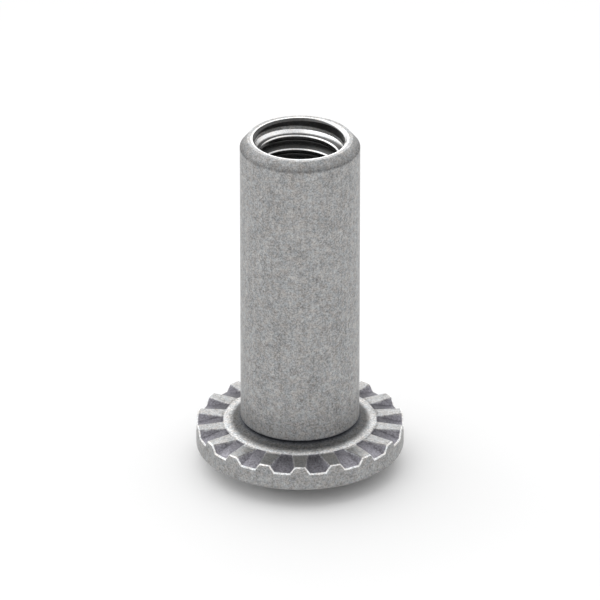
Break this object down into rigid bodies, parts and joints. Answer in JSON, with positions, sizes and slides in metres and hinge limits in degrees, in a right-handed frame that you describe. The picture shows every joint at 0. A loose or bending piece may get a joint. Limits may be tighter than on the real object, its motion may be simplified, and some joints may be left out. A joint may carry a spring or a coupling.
{
  "type": "barrel nut",
  "caption": "Barrel nut with a blind tapped barrel, a serrated flange and a low domed head whose one-way slot only a tightening blade can turn.",
  "frame": {"origin": "on the nut's axis, level with the lowest point of the domed head that it stands on", "axes": "+Z along the axis from the head to the open end of the barrel; X along the slot of the recess"},
  "size_m": [0.014, 0.014, 0.024],
  "materials": {
    "stainless_steel": "matte, slightly mottled stainless steel, the dome and the recess smoother"
  },
  "bodies": {
    "root": {"barrel_nut": "stainless_steel"}
  },
  "joints": []
}
